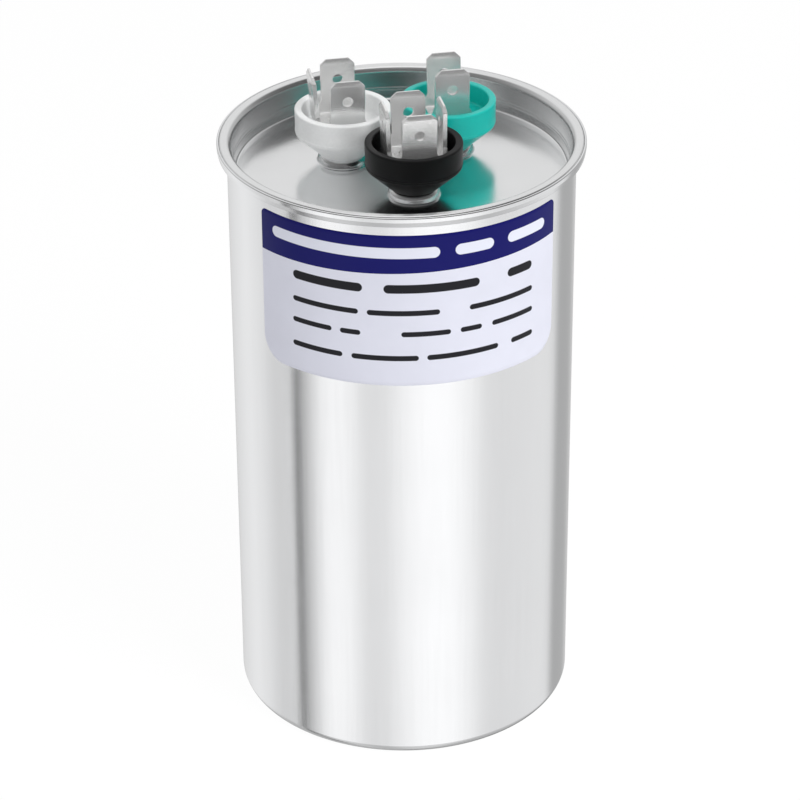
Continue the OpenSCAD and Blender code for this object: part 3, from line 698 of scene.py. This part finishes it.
# Half outline of a rivet: tail under the lug, shank, and a head with a dimple on the plate.
def rivetLine():
    shank, head, corner = rivet["radius"], rivet["headRadius"], rivet["corner"]
    lugFoot = neckEnd - rivet["bushFloor"] - rivet["lug"]
    tailFoot, headTop = lugFoot - rivet["headHeight"], plateTop + rivet["headHeight"]
    dimple, dimpleFoot = rivet["dimpleRadius"], headTop - rivet["dimple"]
    points = [(0, tailFoot), (head, tailFoot), (head, lugFoot), (shank, lugFoot), (shank, plateTop),
              (head, plateTop), (head, headTop), (dimple, headTop),
              (dimple - rivet["dimpleSlope"], dimpleFoot), (0, dimpleFoot)]
    radii = [rivet["edge"], *[corner] * 4, rivet["edge"], *[rivet["dimpleBend"]] * 2]
    return filledLine(roundedLine(points, radii, steps=6)[0], step=1.0)


rivetMetal = grainMaterial("rivetTin", rivet["colour"], rivet["roughness"], metallic=1.0, grains=5.0,
                           patch=0.6, tone=0.1, roughSpread=0.06, relief=0.3, reliefDepth=0.015)
for name, terminal in terminals.items():
    rivetGrid = revolved(rivetLine(), rivet["segments"], terminal["centre"])
    addPiece(name + "RivetBody", [(rivetGrid, False, True)], rivetMetal, [name + "_rivet"],
             fill=False)


# Inside parts keep their solids and get their finish, by the slot that the record gives each of them.
insideFinishes = {
    "rubber": dict(colour=(0.02, 0.021, 0.023), roughness=0.6, grains=3.0, tone=0.1, relief=0.2),
    "lug_brass": dict(colour=(0.55, 0.47, 0.28), roughness=0.3, metallic=1.0, grains=4.0, tone=0.08,
                      relief=0.2),
    "black_wire": dict(colour=(0.015, 0.015, 0.015), roughness=0.45, grains=2.0, tone=0.08, relief=0.1),
    "white_wire": dict(colour=(0.78, 0.78, 0.77), roughness=0.45, grains=2.0, tone=0.04, relief=0.1),
    "green_wire": dict(colour=(0.02, 0.32, 0.25), roughness=0.45, grains=2.0, tone=0.06, relief=0.1),
    "disc_board": dict(colour=(0.20, 0.10, 0.045), roughness=0.7, grains=1.5, tone=0.2, relief=0.4),
    "moulding": dict(colour=(0.72, 0.70, 0.62), roughness=0.5, grains=1.5, tone=0.04, relief=0.1),
    "film": dict(colour=(0.58, 0.52, 0.38), roughness=0.25, coat=0.3, grains=2.0, tone=0.08, relief=0.15,
                 marks=0.4),
    "zinc": dict(colour=(0.33, 0.35, 0.37), roughness=0.6, metallic=1.0, grains=2.5, tone=0.2, relief=0.8),
}
insideMaterials = {slot: grainMaterial(slot + "Finish", **values) for slot, values in insideFinishes.items()}
slotOf = {part["node"]: part["material_slot"] for part in frame["record"]["subparts"]}


# The sealing ring fills the fold between the can's crimped band and the lid's skirt.
gasket = dict(inner=31.62, outer=32.72, foot=112.62, top=113.55, corner=0.3)


# A rounded oblong section, closed from the middle of its foot.
def gasketSection():
    inner, outer, foot, top = (gasket[key] for key in ("inner", "outer", "foot", "top"))
    middle = ((inner + outer) / 2, foot)
    points = [middle, (outer, foot), (outer, top), (inner, top), (inner, foot), middle]
    return roundedLine(points, [gasket["corner"]] * 4)[0][:-1]


addPiece("gasketRing", [(revolved(gasketSection(), can["segments"]), True, True)], insideMaterials["rubber"],
         ["seam_gasket"])
for name, node in frame["nodes"].items():
    if not node.hide_render and slotOf.get(name) in insideMaterials:
        node.data.materials.clear()
        node.data.materials.append(insideMaterials[slotOf[name]])
print("inside parts finished")


# Floor, studio light and camera. Each fade gives the two heights of a direction's unit vector between
# which one level passes into the next.
studio = dict(
    heading=-11.1,
    cameraPlace=(-0.10562, -0.53837, 0.36840), cameraTurn=(60.5978, 0.2810, -11.2005), lens=149.73, sensor=36,
    topLight=2.0, topSize=0.9, topPlace=(0.05, -0.1, 1.1),
    keyLight=5.0, keySize=0.5, keyPlace=(0.5, -0.7, 0.7),
    strength=1.2, roomLevel=0.70, bounceLevel=1.45, zenithLevel=0.96, deepLevel=0.6,
    deepFade=(-0.72, -0.60), lowFade=(-0.34, -0.20), highFade=(0.18, 0.40), zenithFade=(0.88, 0.95),
    floorReach=6.0, floorDrop=0.05, floorShade=0.12, floorTone=0.70, floorRoughness=0.8, floorGlow=1.04,
)
# Levels of the studio round the object, by the angle in degrees from the camera's side to its right.
lowRing = [(-180, 0.62), (-149, 0.78), (-128, 0.88), (-112, 0.82), (-97, 0.69), (-88, 0.69), (-80, 0.78),
           (-78.8, 0.12), (-75.5, 0.15), (-72.5, 0.46), (-66, 0.66), (-60, 0.86), (-55, 1.0), (-48, 1.04),
           (-37, 1.0), (-30, 0.88), (-24, 0.80), (-12, 0.83), (0, 0.99), (14, 1.09), (32, 1.10), (46, 0.98),
           (59, 0.80), (70, 0.78), (112, 0.81), (122, 0.78), (130, 0.42), (152, 0.44), (165, 0.62),
           (180, 0.62)]
levelRing = [(-180, 0.70), (-130, 0.42), (-90, 0.18), (-50, 0.13), (0, 0.12), (50, 0.15), (90, 0.20),
             (130, 0.42), (180, 0.70)]
highRing = [(-180, 0.80), (-140, 0.75), (-118, 0.55), (-105, 0.40), (-84, 0.24), (-66, 0.19), (-30, 0.15),
            (17, 0.13), (60, 0.10), (95, 0.10), (117, 0.20), (135, 0.50), (150, 0.75), (180, 0.80)]
white, black = (1, 1, 1, 1), (0, 0, 0, 1)


# The camera sees white, mirrored rays see the rings, and all other light comes from a plain room. After a
# bounce off something matt, mirrored rays see a plain level too.
def makeWorld():
    world = bpy.data.worlds.new("studio")
    world.use_nodes = True
    n = Nodes(world.node_tree)
    background = world.node_tree.nodes["Background"]
    way = n.add("ShaderNodeTexCoord").outputs["Generated"]
    turned = n.add("ShaderNodeVectorRotate", {"Vector": way, "Angle": math.radians(-studio["heading"])},
                   rotation_type="Z_AXIS").outputs[0]
    split = n.add("ShaderNodeSeparateXYZ", {0: turned})
    angle = n.math("ARCTAN2", split.outputs["X"], n.math("MULTIPLY", split.outputs["Y"], -1.0))
    share = n.math("MULTIPLY_ADD", angle, 0.5 / math.pi, 0.5)

    def ring(levels):
        return n.ramp(share, [((side + 180) / 360, level / studio["strength"]) for side, level in levels])

    def passed(fade, under, over):
        return n.mix(n.spread(split.outputs["Z"], *studio[fade]), under, over)

    zenith = studio["zenithLevel"] / studio["strength"]
    rings = passed("lowFade", ring(lowRing), ring(levelRing))
    rings = passed("highFade", rings, ring(highRing))
    rings = passed("zenithFade", rings, (zenith, zenith, zenith, 1))
    rings = passed("deepFade", n.mix(1 - studio["deepLevel"], rings, black), rings)
    path = n.add("ShaderNodeLightPath")
    seen, mirrored = path.outputs["Is Camera Ray"], path.outputs["Is Glossy Ray"]
    unscattered = n.math("LESS_THAN", path.outputs["Diffuse Depth"], 0.5)
    direct = n.math("MULTIPLY", mirrored, unscattered)
    plain = n.spread(mirrored, 0.0, 1.0, studio["roomLevel"] / studio["strength"],
                     studio["bounceLevel"] / studio["strength"])
    colour = n.mix(seen, n.mix(direct, plain, rings), white)
    strength = n.spread(seen, 0.0, 1.0, studio["strength"], 1.0)
    n.tree.links.new(colour, background.inputs["Color"])
    n.tree.links.new(strength, background.inputs["Strength"])
    bpy.context.scene.world = world


# A pale floor that keeps some of the object's shadow, and is near white to the camera.
def makeFloor(lines=9):
    mesh = bpy.data.meshes.new("floor")
    s = np.linspace(-studio["floorReach"], studio["floorReach"], lines)
    x, y = np.meshgrid(s, s, indexing="ij")
    points = np.stack([x, y, 0 * x - studio["floorDrop"] * mm], 2).reshape(-1, 3)
    mesh.from_pydata(points, [], gridCells(lines, lines, False, False)[:, ::-1].tolist())
    floor = bpy.data.objects.new("floor", mesh)
    bpy.context.scene.collection.objects.link(floor)
    tone = (studio["floorTone"],) * 3
    material, n, shader = newMaterial("floorPaper", tone, studio["floorRoughness"])[:3]
    surface = n.tree.nodes["Material Output"].inputs["Surface"]
    glow = n.add("ShaderNodeEmission", {"Color": white, "Strength": studio["floorGlow"]})
    path = n.add("ShaderNodeLightPath")
    seen = n.math("MAXIMUM", path.outputs["Is Camera Ray"],
                  n.math("MAXIMUM", path.outputs["Is Glossy Ray"], path.outputs["Is Transmission Ray"]))
    share = n.math("MULTIPLY", seen, 1 - studio["floorShade"])
    blend = n.add("ShaderNodeMixShader", {0: share, 1: shader.outputs[0], 2: glow.outputs[0]})
    n.tree.links.new(blend.outputs[0], surface)
    mesh.materials.append(material)
    floor.visible_glossy = False


def addLight(name, power, size, place, aim=(0, 0, 0.06)):
    lamp = bpy.data.lights.new(name, "AREA")
    lamp.energy = power
    lamp.shape = "DISK"
    lamp.size = size
    light = bpy.data.objects.new(name, lamp)
    light.location = place
    light.rotation_euler = (Vector(place) - Vector(aim)).to_track_quat("Z", "Y").to_euler()
    light.visible_glossy = False
    bpy.context.scene.collection.objects.link(light)


def addCamera():
    data = bpy.data.cameras.new("camera")
    data.sensor_width = studio["sensor"]
    data.lens = studio["lens"]
    camera = bpy.data.objects.new("camera", data)
    camera.location = studio["cameraPlace"]
    camera.rotation_euler = [math.radians(v) for v in studio["cameraTurn"]]
    bpy.context.scene.collection.objects.link(camera)
    bpy.context.scene.camera = camera


makeWorld()
makeFloor()
addLight("overhead", studio["topLight"], studio["topSize"], studio["topPlace"])
addLight("key", studio["keyLight"], studio["keySize"], studio["keyPlace"])
addCamera()
bpy.context.scene.view_settings.view_transform = "Standard"
print("stage, light and camera set")
